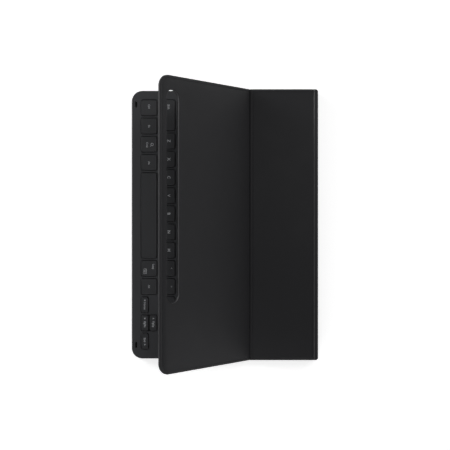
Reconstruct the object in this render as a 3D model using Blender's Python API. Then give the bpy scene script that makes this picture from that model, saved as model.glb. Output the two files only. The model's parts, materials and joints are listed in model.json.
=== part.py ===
"""Folio keyboard case for a tablet of about 11 inches, standing half open.

Frame: origin at the centre of the underside, +X to the typist's right, +Y away from the typist
(towards the spine), +Z up, metres. The base lies flat with its keys up, the spine stands upright
at the rear, the lower panel lies level over the rear of the base, and the upper panel is folded
up from it. Closed, both panels lie level over a tablet that rests on the keys. Every piece is
drawn in the closed case's frame, and the empty on the fold's axis then turns the upper panel up.
"""

import math

import bmesh
import bpy
from mathutils import Matrix
from mathutils.geometry import tessellate_polygon

# Overall size.
WIDTH = 0.254
DEPTH = 0.176
FREE_CORNER_R = 0.010
REAR_CORNER_R = 0.003
EDGE_CHAMFER = 0.0003
GAP = 0.0003

# Layers of the base, as thicknesses and as heights above what it lies on.
SKIN_T = 0.0006
SKIN_RIM = 0.0008
BASE_RIM_TOP = 0.0022
PLATE_T = 0.0004
FILM_T = 0.0002
FILM_HALF = 0.1205
FILM_FRONT = -0.081
FILM_REAR = 0.007
DOME_R = 0.0024
DOME_CROWN_R = 0.0015
DOME_H = 0.0003
DECK_TOP = 0.0056
DECK_T = 0.0012
DECK_WALL = 0.0016

# Keys.
PITCH = 0.01725
KEY_FACE = 0.0145
KEY_CORNER_R = 0.0015
KEY_CLEARANCE = 0.0007
KEY_FLANGE = 0.00115
KEY_FLANGE_T = 0.0004
KEY_PROUD = 0.0004
KEY_BEVEL = 0.00025
KEYS_LEFT = -0.118
KEYS_FRONT = -0.0788
SPLIT_GAP = 0.0016
SPLIT_FLANGE = 0.0005

# Folding cover.
PANEL_T = 0.0023
PANEL_TOP = 0.01475
LINING_T = 0.0004
CREASE_R = 0.0033
CREASE_T = 0.0007
SPINE_CORE_T = 0.0010
SPINE_INSET = 0.0004
FOLD_Y = 0.0234
FOLD_TILT = math.radians(45.8)
FOLD_HALF = 0.0013
FOLD_SINK = 0.00025
FOLD_T = 0.0006

# Long slot in the upper panel, measured along the panel from the fold.
SLOT_NEAR = 0.0892
SLOT_FAR = 0.1041
SLOT_LEFT = -0.1156
SLOT_RIGHT = 0.0670

# Small fittings.
BUMPER_X = 0.1141
BUMPER_Y = -0.0838
BUMPER_LONG = 0.0058
BUMPER_WIDE = 0.0019
BUMPER_SINK = 0.0006
BAR_HALF = 0.112
BAR_FRONT = 0.009
BAR_REAR = 0.017
BAR_R = 0.0015
BAR_BOTTOM = 0.0030
BAR_TOP = 0.0061
PIN_PITCH = 0.005
PIN_R = 0.0009
PIN_FOOT_R = 0.0016
PIN_FOOT_T = 0.0004
PIN_BORE_R = 0.0012
PIN_TIP_R = 0.0005
PIN_TIP_H = 0.0002
PIN_TOP = 0.0065
DOCK_MAGNET_X = 0.060
DOCK_MAGNET_LONG = 0.060
DOCK_MAGNET_WIDE = 0.005
DOCK_MAGNET_H = 0.0024
COVER_MAGNET_X = 0.060
COVER_MAGNET_FROM_FOLD = 0.045
COVER_MAGNET_LONG = 0.046
COVER_MAGNET_WIDE = 0.010
BOARD_HALF = 0.060
BOARD_FRONT = 0.030
BOARD_REAR = 0.058
BOARD_T = 0.0006
CHIP_H = 0.0010
RIBBON_HALF = 0.009

# Worked out from the above.
FRONT = -DEPTH / 2
REAR = DEPTH / 2
HALF = WIDTH / 2
LAYER_INSET = SKIN_RIM + GAP
SKIN_REAR = REAR - CREASE_R - GAP
SPINE_CORE_Y = REAR - CREASE_T - GAP - SPINE_CORE_T
SPINE_LINING_Y = SPINE_CORE_Y - GAP - LINING_T
DECK_REAR = SPINE_LINING_Y - GAP
PLATE_Z = SKIN_T + GAP
FILM_Z = PLATE_Z + PLATE_T + GAP
DOME_Z = FILM_Z + FILM_T + GAP
DECK_BOTTOM = BASE_RIM_TOP + GAP
DECK_UNDER = DECK_TOP - DECK_T
FLANGE_Z = DECK_UNDER - GAP - KEY_FLANGE_T
KEY_TOP = DECK_TOP + KEY_PROUD
PANEL_LIP = PANEL_TOP - PANEL_T + LINING_T + GAP
BAR_Y = (BAR_FRONT + BAR_REAR) / 2

FINISHES = {
    "leather": ((0.030, 0.030, 0.032), 0.55, 0.0),
    "microfibre": ((0.045, 0.045, 0.048), 0.90, 0.0),
    "deck": ((0.040, 0.040, 0.043), 0.60, 0.0),
    "keycap": ((0.035, 0.035, 0.038), 0.55, 0.0),
    "rubber": ((0.008, 0.008, 0.008), 0.80, 0.0),
    "card": ((0.100, 0.100, 0.110), 0.80, 0.0),
    "film": ((0.600, 0.620, 0.600), 0.25, 0.0),
    "circuit": ((0.020, 0.100, 0.050), 0.45, 0.0),
    "plate": ((0.550, 0.560, 0.580), 0.35, 1.0),
    "magnet": ((0.500, 0.500, 0.500), 0.30, 1.0),
    "gold": ((0.900, 0.650, 0.250), 0.25, 1.0),
}

# Keys from left to right, each with its width in pitches. Behind these two rows the keys are
# joined into strips, which are listed row by row, from the home row to the number row.
FRONT_ROW = (
    ("control", 1.0),
    ("function", 1.0),
    ("command", 1.0),
    ("alt_left", 1.0),
    ("space", 4.82),
    ("language", 1.0),
    ("alt_right", 1.0),
)
ARROW_COLUMNS = 3
SHIFT_ROW = (
    ("shift_left", 1.82),
    ("z", 1.0),
    ("x", 1.0),
    ("c", 1.0),
    ("v", 1.0),
    ("b", 1.0),
    ("n", 1.0),
    ("m", 1.0),
    ("comma", 1.0),
    ("period", 1.0),
    ("slash", 1.0),
    ("shift_right", 2.0),
)
STRIP_ROWS = (
    (("home_left", (1.32, 1, 1, 1, 1, 1, 1)), ("home_right", (1, 1, 1, 1, 1, 1.5))),
    (("upper_left", (1.07, 1, 1, 1, 1, 1, 1)), ("upper_right", (1, 1, 1, 1, 1, 1, 0.75))),
    (
        ("number_left", (0.82, 1, 1, 1, 1)),
        ("number_middle", (1, 1, 1, 1, 1)),
        ("number_right", (1, 1, 1, 1)),
    ),
)


# Outlines: points that run counter-clockwise as seen from above. A box is (x0, x1, y0, y1).


def arc(cx, cy, radius, start, sweep, steps):
    """Points on an arc, both ends included. Its angles are in degrees."""
    angles = [math.radians(start + sweep * i / steps) for i in range(steps + 1)]
    return [(cx + radius * math.cos(a), cy + radius * math.sin(a)) for a in angles]


def circle(cx, cy, radius, steps):
    return arc(cx, cy, radius, 0, 360, steps)[:-1]


def rectangle(box, front_r=0.0, rear_r=0.0, steps=8):
    """A box's outline, with one radius on its two front corners and another on its rear ones."""
    x0, x1, y0, y1 = box
    points = []
    for x, y, across, along, radius, start in (
        (x0, y0, 1, 1, front_r, 180),
        (x1, y0, -1, 1, front_r, 270),
        (x1, y1, -1, -1, rear_r, 0),
        (x0, y1, 1, -1, rear_r, 90),
    ):
        if radius > 0:
            points += arc(x + across * radius, y + along * radius, radius, start, 90, steps)
        else:
            points.append((x, y))
    return points


def grown(box, by):
    return (box[0] - by, box[1] + by, box[2] - by, box[3] + by)


def box_round(cx, cy, long, wide):
    """A box about a centre, by its size in X and in Y."""
    return (cx - long / 2, cx + long / 2, cy - wide / 2, cy + wide / 2)


def pill(box, steps=12):
    """An outline with round ends that fills a box longer in X than in Y."""
    radius = (box[3] - box[2]) / 2
    middle = (box[2] + box[3]) / 2
    right = arc(box[1] - radius, middle, radius, -90, 180, steps)
    return right + arc(box[0] + radius, middle, radius, 90, 180, steps)


# Mesh building.


def ring(mesh, outline, z):
    return [mesh.verts.new((x, y, z)) for x, y in outline]


def wall(mesh, *rings):
    """Quads between each ring and the next."""
    for low, high in zip(rings, rings[1:]):
        for i, vertex in enumerate(low):
            j = (i + 1) % len(low)
            mesh.faces.new((vertex, low[j], high[j], high[i]))


def cap(mesh, outer, *holes):
    """Fills a level ring, leaving out the rings that lie inside it."""
    rings = [outer, *holes]
    flat = [vertex for each in rings for vertex in each]
    for triangle in tessellate_polygon([[vertex.co for vertex in each] for each in rings]):
        mesh.faces.new([flat[i] for i in triangle])


def material(name, colour, roughness, metallic):
    made = bpy.data.materials.new(name)
    made.use_nodes = True
    shader = made.node_tree.nodes["Principled BSDF"]
    shader.inputs["Base Color"].default_value = (*colour, 1.0)
    shader.inputs["Roughness"].default_value = roughness
    shader.inputs["Metallic"].default_value = metallic
    return made


def hang(thing, axis):
    """Parents to the empty on a joint's axis, so that the thing keeps its place when closed."""
    thing.parent = axis
    thing.matrix_parent_inverse = Matrix.Translation(-axis.location)


def solid(name, finish, mesh, axis=None, at=(0.0, 0.0, 0.0)):
    """Makes the object of a closed mesh, with its origin at at."""
    bmesh.ops.recalc_face_normals(mesh, faces=mesh.faces)
    bmesh.ops.translate(mesh, verts=mesh.verts, vec=[-c for c in at])
    data = bpy.data.meshes.new(name)
    mesh.to_mesh(data)
    mesh.free()
    data.shade_smooth()
    data.set_sharp_from_angle(angle=math.radians(30))
    data.materials.append(material(f"{name}_{finish}", *FINISHES[finish]))
    thing = bpy.data.objects.new(name, data)
    thing.location = at
    bpy.context.collection.objects.link(thing)
    if axis:
        hang(thing, axis)


def axis_empty(name, y, z, parent=None):
    """An empty on a hinge's axis, which lies along X."""
    empty = bpy.data.objects.new(name, None)
    empty.location = (0.0, y, z)
    bpy.context.collection.objects.link(empty)
    if parent:
        hang(empty, parent)
    return empty


def sheet(name, finish, outline, z0, z1, holes=(), axis=None):
    """A flat layer, with its holes cut right through it."""
    mesh = bmesh.new()
    low = [ring(mesh, each, z0) for each in (outline, *holes)]
    high = [ring(mesh, each, z1) for each in (outline, *holes)]
    for pair in zip(low, high):
        wall(mesh, *pair)
    cap(mesh, *low)
    cap(mesh, *high)
    solid(name, finish, mesh, axis)


def tray(name, finish, heights, outlines, holes=(), collared=(), axis=None):
    """A floor with a rim round its edge.

    heights are those of the outer face, the edge's chamfer, the floor's inner face and the rim's
    lip. outlines are those of the outer face, the edge and the rim's inside. holes go through the
    floor alone. collared holes are pairs of outlines: the hole, and the outside of its own rim.
    """
    outer_z, edge_z, floor_z, lip_z = heights
    face, edge, inside = outlines
    mesh = bmesh.new()
    outer = [ring(mesh, face, outer_z)]
    inner = [ring(mesh, inside, floor_z)]
    edges = [ring(mesh, edge, z) for z in (edge_z, lip_z)]
    wall(mesh, outer[0], *edges, ring(mesh, inside, lip_z), inner[0])
    for hole in holes:
        outer.append(ring(mesh, hole, outer_z))
        inner.append(ring(mesh, hole, floor_z))
        wall(mesh, outer[-1], inner[-1])
    for hole, collar in collared:
        outer.append(ring(mesh, hole, outer_z))
        inner.append(ring(mesh, collar, floor_z))
        wall(mesh, outer[-1], ring(mesh, hole, lip_z), ring(mesh, collar, lip_z), inner[-1])
    cap(mesh, *outer)
    cap(mesh, *inner)
    solid(name, finish, mesh, axis)


def stepped(name, finish, foot, foot_heights, rises, at=(0.0, 0.0, 0.0)):
    """A foot plate with bosses. A rise is a boss's outline on the foot, then (outline, z) steps."""
    low_z, high_z = foot_heights
    mesh = bmesh.new()
    low = ring(mesh, foot, low_z)
    high = ring(mesh, foot, high_z)
    wall(mesh, low, high)
    cap(mesh, low)
    starts = []
    for start, steps in rises:
        starts.append(ring(mesh, start, high_z))
        rings = [ring(mesh, outline, z) for outline, z in steps]
        wall(mesh, starts[-1], *rings)
        cap(mesh, rings[-1])
    cap(mesh, high, *starts)
    solid(name, finish, mesh, at=at)


def drawn(name, finish, profile, half_width, axis=None):
    """A profile of (y, z) points drawn out along X, as far on each side of the middle."""
    mesh = bmesh.new()
    left, right = (
        [mesh.verts.new((x, y, z)) for y, z in profile] for x in (-half_width, half_width)
    )
    wall(mesh, left, right)
    mesh.faces.new(left)
    mesh.faces.new(right)
    solid(name, finish, mesh, axis)


# Key layout.


def row_boxes(row, widths):
    """The faces of one row's keys, from left to right."""
    boxes = []
    x = KEYS_LEFT
    y = KEYS_FRONT + row * PITCH
    for width in widths:
        boxes.append((x, x + width * PITCH - PITCH + KEY_FACE, y, y + KEY_FACE))
        x += width * PITCH
    return boxes


def key_faces():
    """The boxes of the key faces on each key piece, by the piece's name."""
    front = row_boxes(0, [width for _, width in FRONT_ROW] + [1.0] * ARROW_COLUMNS)
    shift = row_boxes(1, [width for _, width in SHIFT_ROW])
    faces = {f"key_{name}": [box] for (name, _), box in zip(FRONT_ROW, front)}
    faces |= {f"key_{name}": [box] for (name, _), box in zip(SHIFT_ROW, shift)}
    half_face = (KEY_FACE - SPLIT_GAP) / 2
    for name, column, lift in (
        ("left", 0, 0.0),
        ("down", 1, 0.0),
        ("up", 1, half_face + SPLIT_GAP),
        ("right", 2, 0.0),
    ):
        x0, x1, y0, _ = front[column - ARROW_COLUMNS]
        faces[f"key_{name}"] = [(x0, x1, y0 + lift, y0 + lift + half_face)]
    for row, strips in enumerate(STRIP_ROWS, start=2):
        boxes = row_boxes(row, [width for _, widths in strips for width in widths])
        for name, widths in strips:
            faces[f"key_strip_{name}"] = boxes[: len(widths)]
            boxes = boxes[len(widths) :]
    return faces


def deck_openings(faces):
    """Where the keys come through the deck. The up and down keys share one opening."""
    openings = [box for name, boxes in faces.items() for box in boxes if name != "key_up"]
    down = openings.index(faces["key_down"][0])
    openings[down] = (*openings[down][:3], faces["key_up"][0][3])
    return [
        rectangle(grown(box, KEY_CLEARANCE), *[KEY_CORNER_R + KEY_CLEARANCE] * 2, steps=2)
        for box in openings
    ]


# Keyboard base.


def base_outline(inset, rear=SKIN_REAR, rear_r=0.0):
    """The base seen from above, drawn in at its front and its two sides."""
    box = (-HALF + inset, HALF - inset, FRONT + inset, rear)
    return rectangle(box, FREE_CORNER_R - inset, rear_r)


def base_shell():
    tray(
        "base_outer_skin",
        "leather",
        (0.0, EDGE_CHAMFER, SKIN_T, BASE_RIM_TOP),
        (
            base_outline(EDGE_CHAMFER),
            base_outline(0.0),
            base_outline(SKIN_RIM, SKIN_REAR - SKIN_RIM),
        ),
    )


def base_layers(faces):
    """The stiffening plate, the switch film and the sheet of low domes, one above the other."""
    plate = base_outline(LAYER_INSET, SKIN_REAR - LAYER_INSET)
    sheet("base_plate", "plate", plate, PLATE_Z, PLATE_Z + PLATE_T)
    film = rectangle((-FILM_HALF, FILM_HALF, FILM_FRONT, FILM_REAR))
    sheet("switch_membrane", "film", film, FILM_Z, FILM_Z + FILM_T)
    domes = []
    for x0, x1, y0, y1 in (box for boxes in faces.values() for box in boxes):
        x, y = (x0 + x1) / 2, (y0 + y1) / 2
        crown = circle(x, y, DOME_CROWN_R, 6)
        domes.append((circle(x, y, DOME_R, 6), [(crown, DOME_Z + FILM_T + DOME_H)]))
    stepped("dome_sheet", "film", film, (DOME_Z, DOME_Z + FILM_T), domes)


def bumper_box(side):
    return box_round(side * BUMPER_X, BUMPER_Y, BUMPER_LONG, BUMPER_WIDE)


def deck(faces):
    """The frame that the keys come through, with a wall down to the skin's rim."""
    bar_box = grown((-BAR_HALF, BAR_HALF, BAR_FRONT, BAR_REAR), GAP)
    holes = deck_openings(faces)
    holes += [pill(bumper_box(side), steps=6) for side in (-1, 1)]
    holes.append(rectangle(bar_box, BAR_R + GAP, BAR_R + GAP, steps=3))
    tray(
        "deck_frame",
        "deck",
        (DECK_TOP, DECK_TOP - EDGE_CHAMFER, DECK_UNDER, DECK_BOTTOM),
        (
            base_outline(EDGE_CHAMFER, DECK_REAR - EDGE_CHAMFER, REAR_CORNER_R - EDGE_CHAMFER),
            base_outline(0.0, DECK_REAR, REAR_CORNER_R),
            base_outline(DECK_WALL, DECK_REAR - DECK_WALL, REAR_CORNER_R - DECK_WALL),
        ),
        holes,
    )


def bumpers():
    """Rubber pads at the front corners, each sunk in its hole in the deck."""
    for name, side in (("front_bumper_left", -1), ("front_bumper_right", 1)):
        outline = pill(grown(bumper_box(side), -GAP), steps=6)
        sheet(name, "rubber", outline, FILM_Z, DECK_TOP - BUMPER_SINK)


def electronics():
    """The control board and the ribbon that joins it to the switch film."""
    board = rectangle((-BOARD_HALF, BOARD_HALF, BOARD_FRONT, BOARD_REAR))
    board_y = (BOARD_FRONT + BOARD_REAR) / 2
    chips = []
    for x, size in ((-0.030, 0.008), (0.005, 0.012), (0.036, 0.006)):
        chip = rectangle(box_round(x, board_y, size, size))
        chips.append((chip, [(chip, FILM_Z + BOARD_T + CHIP_H)]))
    stepped("control_board", "circuit", board, (FILM_Z, FILM_Z + BOARD_T), chips)
    ribbon = rectangle((-RIBBON_HALF, RIBBON_HALF, FILM_REAR + GAP, BOARD_FRONT - GAP))
    sheet("flex_cable", "film", ribbon, FILM_Z, FILM_Z + FILM_T)


def dock():
    """The bar that the tablet's lower edge stands on, with its magnets and contact pins."""
    pins = [(side * PIN_PITCH, BAR_Y) for side in (-1, 0, 1)]
    magnets = [
        box_round(side * DOCK_MAGNET_X, BAR_Y, DOCK_MAGNET_LONG, DOCK_MAGNET_WIDE)
        for side in (-1, 1)
    ]
    outline = rectangle((-BAR_HALF, BAR_HALF, BAR_FRONT, BAR_REAR), BAR_R, BAR_R, steps=3)
    crest = grown((-BAR_HALF, BAR_HALF, BAR_FRONT, BAR_REAR), -EDGE_CHAMFER)
    crest_r = BAR_R - EDGE_CHAMFER
    pocket_top = BAR_BOTTOM + DOCK_MAGNET_H + GAP
    mesh = bmesh.new()
    under = [ring(mesh, outline, BAR_BOTTOM)]
    above = [ring(mesh, rectangle(crest, crest_r, crest_r, steps=3), BAR_TOP)]
    wall(mesh, under[0], ring(mesh, outline, BAR_TOP - EDGE_CHAMFER), above[0])
    for x, y in pins:
        bore = circle(x, y, PIN_BORE_R, 12)
        under.append(ring(mesh, bore, BAR_BOTTOM))
        above.append(ring(mesh, bore, BAR_TOP))
        wall(mesh, under[-1], above[-1])
    for magnet in magnets:
        pocket = rectangle(grown(magnet, GAP))
        roof = ring(mesh, pocket, pocket_top)
        under.append(ring(mesh, pocket, BAR_BOTTOM))
        wall(mesh, under[-1], roof)
        cap(mesh, roof)
    cap(mesh, *under)
    cap(mesh, *above)
    solid("dock_bar", "deck", mesh)
    for name, magnet in zip(("dock_magnet_left", "dock_magnet_right"), magnets):
        sheet(name, "magnet", rectangle(magnet), BAR_BOTTOM, BAR_BOTTOM + DOCK_MAGNET_H)
    foot_z = BAR_BOTTOM - GAP - PIN_FOOT_T
    for name, (x, y) in zip(("contact_pin_left", "contact_pin_middle", "contact_pin_right"), pins):
        shaft = circle(x, y, PIN_R, 12)
        tip = circle(x, y, PIN_TIP_R, 12)
        steps = [(shaft, PIN_TOP - PIN_TIP_H), (tip, PIN_TOP)]
        foot = circle(x, y, PIN_FOOT_R, 12)
        stepped(name, "gold", foot, (foot_z, foot_z + PIN_FOOT_T), [(shaft, steps)], (x, y, foot_z))


def keys(faces):
    """Every key, or strip of keys: a flange held under the deck, and the key faces that rise."""
    for name, boxes in faces.items():
        x0, y0 = boxes[0][0] - KEY_FLANGE, boxes[0][2] - KEY_FLANGE
        x1, y1 = boxes[-1][1] + KEY_FLANGE, boxes[0][3] + KEY_FLANGE
        if name == "key_up":
            y0 = boxes[0][2] - SPLIT_FLANGE
        if name == "key_down":
            y1 = boxes[0][3] + SPLIT_FLANGE
        rises = []
        for box in boxes:
            body = rectangle(box, KEY_CORNER_R, KEY_CORNER_R, steps=2)
            top_r = KEY_CORNER_R - KEY_BEVEL
            top = rectangle(grown(box, -KEY_BEVEL), top_r, top_r, steps=2)
            rises.append((body, [(body, KEY_TOP - KEY_BEVEL), (top, KEY_TOP)]))
        middle = ((x0 + x1) / 2, (y0 + y1) / 2, FLANGE_Z)
        foot = rectangle((x0, x1, y0, y1))
        stepped(name, "keycap", foot, (FLANGE_Z, FLANGE_Z + KEY_FLANGE_T), rises, middle)


# Spine and folding cover.


def crease(name, centre_z, start, axis=None):
    """A quarter round of skin between two flat stretches, with its centre a radius in from REAR."""
    centre_y = REAR - CREASE_R
    outside = arc(centre_y, centre_z, CREASE_R, start, 90, 6)
    inside = arc(centre_y, centre_z, CREASE_R - CREASE_T, start, 90, 6)
    drawn(name, "leather", outside + inside[::-1], HALF - SPINE_INSET, axis)


def spine(spine_axis):
    low_z = CREASE_R + GAP
    high_z = PANEL_TOP - CREASE_R - GAP
    for name, finish, y, thickness in (
        ("spine_skin", "leather", REAR - CREASE_T, CREASE_T),
        ("spine_core", "card", SPINE_CORE_Y, SPINE_CORE_T),
        ("spine_lining", "microfibre", SPINE_LINING_Y, LINING_T),
    ):
        profile = rectangle((y, y + thickness, low_z, high_z))
        drawn(name, finish, profile, HALF - SPINE_INSET, spine_axis)
    crease("base_crease", CREASE_R, -90)
    crease("spine_crease", PANEL_TOP - CREASE_R, 0, spine_axis)


def panel(prefix, box, front_r, axis, slot=None, magnets=()):
    """A skin with its rim turned down, a stiff core in it, and a lining that closes it."""

    def outline(inset):
        return rectangle(grown(box, -inset), max(front_r - inset, 0.0))

    def slot_outline(by):
        return pill(grown(slot, by), steps=16)

    tray(
        f"{prefix}_skin",
        "leather",
        (PANEL_TOP, PANEL_TOP - EDGE_CHAMFER, PANEL_TOP - SKIN_T, PANEL_LIP),
        (outline(EDGE_CHAMFER), outline(0.0), outline(SKIN_RIM)),
        collared=[(slot_outline(0.0), slot_outline(SKIN_RIM))] if slot else (),
        axis=axis,
    )
    core_holes = [slot_outline(LAYER_INSET)] if slot else []
    core_holes += [rectangle(grown(magnet, GAP)) for magnet in magnets]
    core_top = PANEL_TOP - SKIN_T - GAP
    sheet(f"{prefix}_core", "card", outline(LAYER_INSET), PANEL_LIP, core_top, core_holes, axis)
    for side, magnet in zip(("left", "right"), magnets):
        name = f"{prefix}_magnet_{side}"
        sheet(name, "magnet", rectangle(magnet), PANEL_LIP, core_top, axis=axis)
    lining_z = PANEL_TOP - PANEL_T
    lining_holes = [slot_outline(0.0)] if slot else []
    lining_heights = (lining_z, lining_z + LINING_T)
    sheet(f"{prefix}_lining", "microfibre", outline(0.0), *lining_heights, lining_holes, axis)


def fold(panel_axis):
    """The sunken strip of skin across the fold, bent as the fold stands."""
    reach = FOLD_HALF - GAP
    cos, sin = math.cos(FOLD_TILT), math.sin(FOLD_TILT)
    profile = []
    for depth, forward in ((FOLD_SINK, True), (FOLD_SINK + FOLD_T, False)):
        points = [
            (reach, -depth),
            (-depth * math.tan(FOLD_TILT / 2), -depth),
            (-reach * cos - depth * sin, reach * sin - depth * cos),
        ]
        profile += points if forward else points[::-1]
    profile = [(FOLD_Y + y, PANEL_TOP + z) for y, z in profile]
    drawn("fold_crease", "leather", profile, HALF - SPINE_INSET, panel_axis)


def cover():
    """The spine on the base, the lower panel on the spine, the upper panel on the lower one."""
    spine_axis = axis_empty("spine_axis", REAR - CREASE_T, CREASE_T)
    panel_axis = axis_empty("panel_axis", REAR - CREASE_T, PANEL_TOP - CREASE_T, spine_axis)
    fold_axis = axis_empty("fold_axis", FOLD_Y, PANEL_TOP, panel_axis)
    fold_axis.rotation_euler.x = -FOLD_TILT
    spine(spine_axis)
    panel("lower_panel", (-HALF, HALF, FOLD_Y + FOLD_HALF, SKIN_REAR), 0.0, panel_axis)
    fold(panel_axis)
    magnets = [
        box_round(
            side * COVER_MAGNET_X,
            FOLD_Y - COVER_MAGNET_FROM_FOLD,
            COVER_MAGNET_LONG,
            COVER_MAGNET_WIDE,
        )
        for side in (-1, 1)
    ]
    slot = (SLOT_LEFT, SLOT_RIGHT, FOLD_Y - SLOT_FAR, FOLD_Y - SLOT_NEAR)
    upper = (-HALF, HALF, FRONT, FOLD_Y - FOLD_HALF)
    panel("upper_panel", upper, FREE_CORNER_R, fold_axis, slot, magnets)


def build():
    for thing in list(bpy.data.objects):
        bpy.data.objects.remove(thing)
    faces = key_faces()
    base_shell()
    base_layers(faces)
    electronics()
    deck(faces)
    bumpers()
    dock()
    keys(faces)
    cover()


build()
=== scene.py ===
"""Looks of the folio keyboard case: leather cover, lining, deck, keycaps with legends, fittings.

The cover is drawn closed and flat, in millimetres, and then bent to the angle of its fold. All
lengths here are in millimetres until a mesh is finished, when it is scaled to metres.
"""
import json
import math

import bmesh
import bpy
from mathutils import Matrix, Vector
from mathutils.geometry import tessellate_polygon


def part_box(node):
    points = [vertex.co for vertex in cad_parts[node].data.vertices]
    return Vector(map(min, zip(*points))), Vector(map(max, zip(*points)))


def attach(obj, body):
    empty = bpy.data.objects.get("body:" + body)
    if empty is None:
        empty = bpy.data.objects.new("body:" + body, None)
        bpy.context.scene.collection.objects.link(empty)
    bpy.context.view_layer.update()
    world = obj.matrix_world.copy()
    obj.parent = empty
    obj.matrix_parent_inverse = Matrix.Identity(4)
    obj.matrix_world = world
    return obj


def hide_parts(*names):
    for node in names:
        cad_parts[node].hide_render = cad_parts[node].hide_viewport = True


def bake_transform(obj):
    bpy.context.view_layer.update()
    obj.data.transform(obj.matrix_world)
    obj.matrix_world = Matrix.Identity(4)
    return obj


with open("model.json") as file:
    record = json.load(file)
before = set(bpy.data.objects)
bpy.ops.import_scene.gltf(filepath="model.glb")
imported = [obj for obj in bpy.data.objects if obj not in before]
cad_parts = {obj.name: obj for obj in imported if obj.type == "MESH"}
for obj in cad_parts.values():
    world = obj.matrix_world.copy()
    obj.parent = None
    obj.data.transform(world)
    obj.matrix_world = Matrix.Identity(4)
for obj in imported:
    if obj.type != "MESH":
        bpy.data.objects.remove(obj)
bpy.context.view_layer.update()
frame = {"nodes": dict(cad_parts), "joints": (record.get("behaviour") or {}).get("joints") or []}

MM = 0.001


def box_mm(node):
    """A node's box as (x0, x1, y0, y1, z0, z1) in millimetres."""
    low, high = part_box(node)
    return tuple(c / MM for pair in zip(low, high) for c in pair)


def joint(name):
    """A joint's entry in the frame."""
    return next(each for each in frame["joints"] if each["name"] == name)


# Sizes read from the frame.
HALF = box_mm("base_outer_skin")[1]
FRONT = box_mm("base_outer_skin")[2]
REAR = box_mm("spine_skin")[3]
PANEL_TOP = box_mm("lower_panel_skin")[5]
DECK_TOP = box_mm("deck_frame")[5]
DECK_BOTTOM = box_mm("deck_frame")[4]
DECK_REAR = box_mm("deck_frame")[3]
BASE_RIM_TOP = box_mm("base_outer_skin")[5]
KEY_TOP = box_mm("key_space")[5]
KEY_FOOT = box_mm("key_space")[4]
SPINE_LINING_Y = box_mm("spine_lining")[2]
SPINE_LINING_END = box_mm("spine_lining")[4]
FOLD_Y = joint("fold_hinge")["pos_m"][1] / MM
FOLD_TILT = math.radians(-joint("fold_hinge")["range_deg"][0])

# Sizes that the frame's boxes don't give.
CORNER_R = 10.0
DECK_REAR_R = 3.0
DECK_T = 1.2
DECK_WALL = 1.6
CREASE_R = 3.3
CREASE_T = 0.70
# A sheet is down to CREASE_T at 1/THINNING of the way round its crease.
THINNING = 1.6
SPINE_INSET = 2.6
BASE_REAR_INSET = 0.4
LEATHER_T = 0.62
# How deep the lining's far face lies under the leather's face.
LINING_BACK = 2.30
RIM_WIDTH = 1.7
# The sheets over the creases start at SEAM_Y. The leather's seam is a slope, with SLOPE_ROWS rows of
# points SLOPE_ROW apart, and then a step back up, with STEP_ROWS rows STEP_ROW apart.
SEAM_Y = 80.0
SECOND_ROW_Y = 80.5
BASE_ROW_Y = 82.0
SEAM_START = 81.6
SLOPE_ROWS = 6
SLOPE_ROW = 0.32
SEAM_STEP = 83.55
STEP_ROWS = 9
STEP_ROW = 0.1
SEAM_END = 84.35
SEAM_FLAT_END = 84.5
SEAM_SUNK = 0.40
# The leather between these two distances, on the seam's raised rear edge, is painted paler as a
# painted highlight.
PAINTED_HIGHLIGHT_START = 83.6
PAINTED_HIGHLIGHT_END = 84.8
# The slot's sides are measured from the fold.
SLOT_NEAR = 89.2
SLOT_FAR = 103.7
SLOT_LEFT = -115.1
SLOT_RIGHT = 67.0
# The bend is spread FOLD_REACH to each side of the fold's line, with rows about FOLD_ROW apart. A
# groove is (middle, half width, depth), with its middle measured back from the fold.
FOLD_REACH = 1.2
FOLD_ROW = 0.14
FOLD_MARGIN = 0.8
FOLD_GROOVES = ((0.1, 0.62, 0.55), (2.8, 0.7, 0.20))
PITCH = 17.25
KEY_FACE = 14.5
KEY_R = 1.5
KEY_CLEARANCE = 0.7
KEY_FLANGE = 1.15
KEY_FLANGE_T = 0.4
SPLIT_FLANGE = 0.5
DISH = 0.05
DISH_R = 0.25
FLANGE_R = 0.4
FITTING_GAP = 0.3
SMALLEST_R = 0.1
# How many straight lines a round stretch is made of.
CORNER_STEPS = 14
CREASE_STEPS = 14
LINING_CREASE_STEPS = 12
CIRCLE_STEPS = 24
EDGE_STEPS = 4
BLOCK_STEPS = 8
PAD_STEPS = 12
# Edges that turn by more degrees than this are sharp.
SHARP_ANGLE = 40.0


# Outlines: points that run counter-clockwise as seen from above. A box is (x0, x1, y0, y1).


def arc(cx, cy, radius, start, sweep, steps):
    angles = [math.radians(start + sweep * i / steps) for i in range(steps + 1)]
    return [(cx + radius * math.cos(a), cy + radius * math.sin(a)) for a in angles]


def rectangle(box, front_r, rear_r, steps=6):
    x0, x1, y0, y1 = box
    points = arc(x0 + front_r, y0 + front_r, front_r, 180, 90, steps)
    points += arc(x1 - front_r, y0 + front_r, front_r, 270, 90, steps)
    points += arc(x1 - rear_r, y1 - rear_r, rear_r, 0, 90, steps)
    return points + arc(x0 + rear_r, y1 - rear_r, rear_r, 90, 90, steps)


def grown(box, by):
    return (box[0] - by, box[1] + by, box[2] - by, box[3] + by)


def pill(box, steps=24):
    radius = (box[3] - box[2]) / 2
    middle = (box[2] + box[3]) / 2
    right = arc(box[1] - radius, middle, radius, -90, 180, steps)
    return right + arc(box[0] + radius, middle, radius, 90, 180, steps)


def quarter(radius):
    """A rounded edge as (inset, depth) points, from the flat face out to the side."""
    turns = [math.radians(90 * i / EDGE_STEPS) for i in range(EDGE_STEPS + 1)]
    return [(radius * (1 - math.sin(a)), radius * (1 - math.cos(a))) for a in turns]


# Mesh building.


def ring(mesh, outline, z):
    return [mesh.verts.new((x, y, z)) for x, y in outline]


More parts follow.
